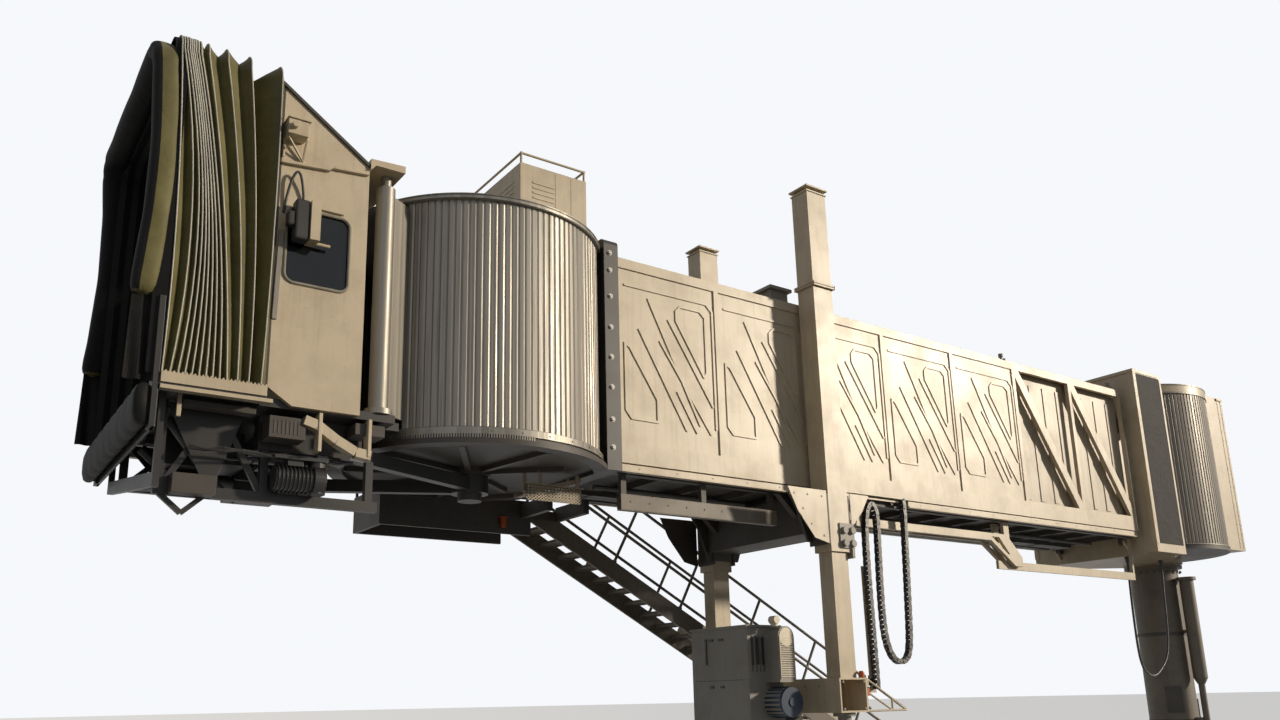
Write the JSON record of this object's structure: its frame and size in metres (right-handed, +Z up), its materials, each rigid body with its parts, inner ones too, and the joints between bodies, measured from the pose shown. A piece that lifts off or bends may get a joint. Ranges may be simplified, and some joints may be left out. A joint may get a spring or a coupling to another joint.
{
  "type": "telescopic jet bridge",
  "caption": "Telescopic passenger boarding bridge on a rotunda column and a wheeled lift, with a slatted cab drum, a turning cab and a folding canopy.",
  "frame": {"origin": "axis of the rotunda column at ground level", "axes": "+Z up, -X along the tunnel to the aircraft end, +X to the building, +Y the side of the service stair"},
  "size_m": [21.64, 4.1999, 9.012],
  "materials": {
    "beige_paint": "satin paint on steel",
    "aluminium_slats": "mill aluminium slats",
    "dark_steel": "dark grey-brown paint",
    "black_steel": "black paint",
    "grey_paint": "grey powder coat",
    "tyre": "solid rubber tyre on a steel hub",
    "tinted_glass": "dark tinted pane",
    "canopy_fabric": "pleated coated cloth",
    "rubber_hose": "black rubber hose and plastic cable carrier",
    "bumper_fabric": "black coated cloth over foam"
  },
  "bodies": {
    "rotunda": {"rotunda_column": "dark_steel", "rotunda_floor": "dark_steel", "rotunda_roof": "beige_paint", "terminal_portal": "beige_paint", "rotunda_curtain_left": "aluminium_slats", "rotunda_curtain_right": "aluminium_slats"},
    "swing": {"swing_portal": "dark_steel", "rotunda_cable_loop": "rubber_hose"},
    "inner_tunnel": {"inner_floor": "dark_steel", "inner_left_wall": "beige_paint", "inner_right_wall": "beige_paint", "inner_roof": "beige_paint", "inner_cable_beam": "beige_paint"},
    "outer_tunnel": {"outer_floor": "dark_steel", "outer_left_wall": "beige_paint", "outer_right_wall": "beige_paint", "outer_roof": "beige_paint", "cab_end_flange": "black_steel", "outer_cable_beam": "beige_paint", "left_lift_tube": "beige_paint", "right_lift_tube": "beige_paint", "lift_saddle": "dark_steel", "drum_floor": "dark_steel", "drum_roof": "dark_steel", "drum_curtain_left": "aluminium_slats", "drum_curtain_right": "aluminium_slats", "roof_unit": "beige_paint", "stair_landing": "dark_steel", "lift_cable_chain": "rubber_hose"},
    "lift": {"axle_frame": "beige_paint", "equipment_unit": "grey_paint"},
    "bogie": {"bogie_frame": "dark_steel"},
    "wheel_left": {"left_wheel": "tyre"},
    "wheel_right": {"right_wheel": "tyre"},
    "stair": {"stair_flight": "dark_steel"},
    "cab": {"cab_floor": "dark_steel", "cab_left_wall": "beige_paint", "cab_right_wall": "beige_paint", "cab_roof": "beige_paint", "cab_window": "tinted_glass", "window_lamp": "beige_paint", "left_curtain_roll": "aluminium_slats", "right_curtain_roll": "aluminium_slats", "canopy_bellows": "canopy_fabric", "canopy_bumper": "bumper_fabric"}
  },
  "joints": [
    {"name": "rotunda_swing", "type": "hinge", "parent": "rotunda", "child": "swing", "pos_m": [0, 0, 4.1], "axis": [0, 0, 1], "range_deg": [-87.5, 87.5]},
    {"name": "tunnel_pitch", "type": "hinge", "parent": "swing", "child": "inner_tunnel", "pos_m": [-2.22, 0, 4.3], "axis": [0, 1, 0], "range_deg": [-5.7, 2.9]},
    {"name": "telescope", "type": "slide", "parent": "inner_tunnel", "child": "outer_tunnel", "axis": [-1, 0, 0], "range_m": [0, 8]},
    {"name": "lift", "type": "slide", "parent": "outer_tunnel", "child": "lift", "axis": [0, 0, -1], "range_m": [-0.9, 0.5]},
    {"name": "bogie_steer", "type": "hinge", "parent": "lift", "child": "bogie", "pos_m": [-10.76, 0, 1.2], "axis": [0, 0, 1], "range_deg": [-90, 90]},
    {"name": "left_wheel_roll", "type": "hinge", "parent": "bogie", "child": "wheel_left", "pos_m": [-10.76, -0.64, 0.575], "axis": [0, 1, 0], "continuous": true},
    {"name": "right_wheel_roll", "type": "hinge", "parent": "bogie", "child": "wheel_right", "pos_m": [-10.76, 0.64, 0.575], "axis": [0, 1, 0], "continuous": true},
    {"name": "stair_pivot", "type": "hinge", "parent": "outer_tunnel", "child": "stair", "pos_m": [-13.92, 2, 4.24], "axis": [0, 1, 0], "range_deg": [-3.7, 1.9]},
    {"name": "cab_rotation", "type": "hinge", "parent": "outer_tunnel", "child": "cab", "pos_m": [-15.74, 0, 4.2], "axis": [0, 0, 1], "range_deg": [-32.5, 92.5]}
  ],
  "couplings": [
    {"joint": "lift", "follows": "tunnel_pitch", "m_per_rad": 8.54},
    {"joint": "stair_pivot", "follows": "tunnel_pitch", "ratio": 0.6}
  ]
}
